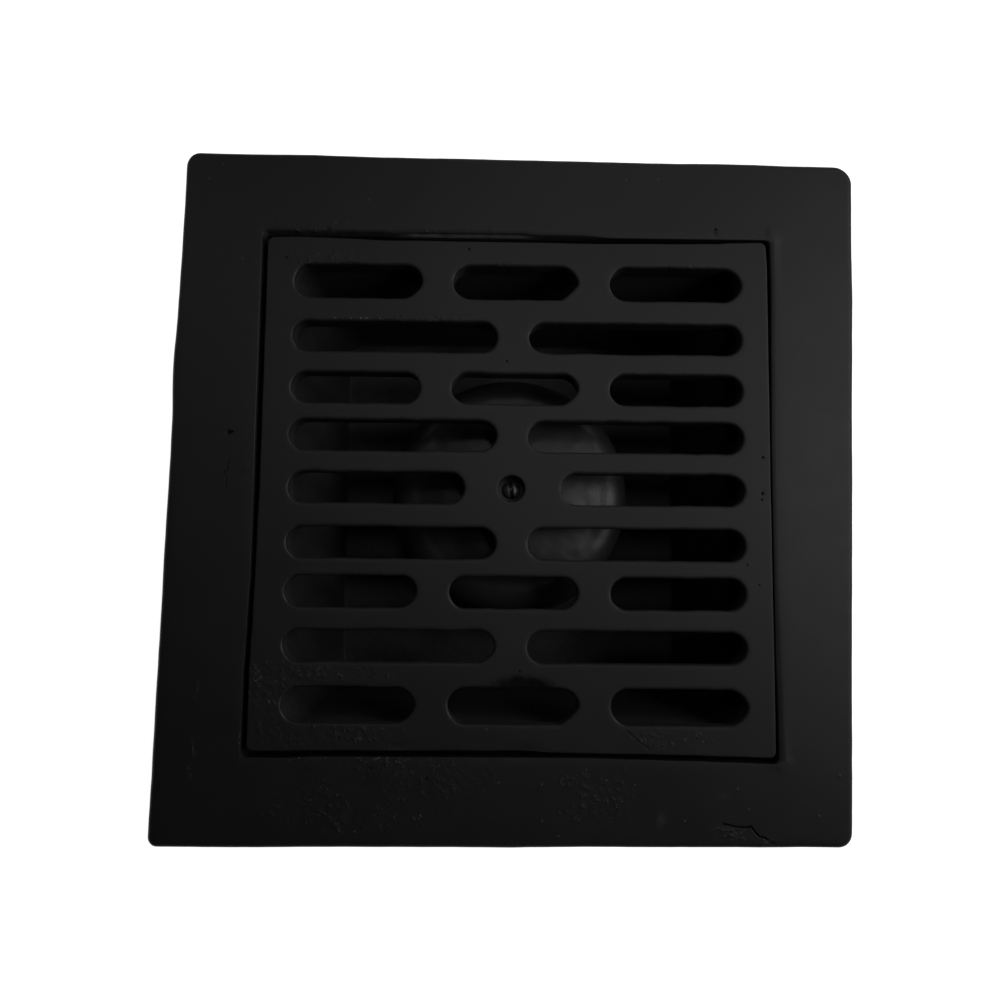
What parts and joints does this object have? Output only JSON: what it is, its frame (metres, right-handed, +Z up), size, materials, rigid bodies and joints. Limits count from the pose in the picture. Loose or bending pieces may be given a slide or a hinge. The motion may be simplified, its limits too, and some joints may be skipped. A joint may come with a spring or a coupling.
{
  "type": "floor drain with slotted drain grate",
  "caption": "Square cast-iron floor drain: a framed bowl with a spigot outlet, a slotted grate in its recess and a bell trap hung under the grate on a slotted stud.",
  "frame": {"origin": "centre of the outlet spigot's lower end, which is also the centre of the bottom of the bounding box", "axes": "+Z up out of the grate, +X along the slots towards the viewer's right, +Y towards the top of the picture"},
  "size_m": [0.2054, 0.2046, 0.092],
  "materials": {
    "frame_iron": "satin black paint on rough cast iron, pitted and scuffed",
    "grate_iron": "satin black paint on rough cast iron",
    "bell_iron": "satin black paint, smoother than the frame",
    "stud_steel": "dulled plain steel"
  },
  "bodies": {
    "root": {"drain_body": "frame_iron", "grate": "grate_iron", "trap_bell": "bell_iron", "bell_stud": "stud_steel", "bell_nut": "stud_steel"}
  },
  "joints": []
}
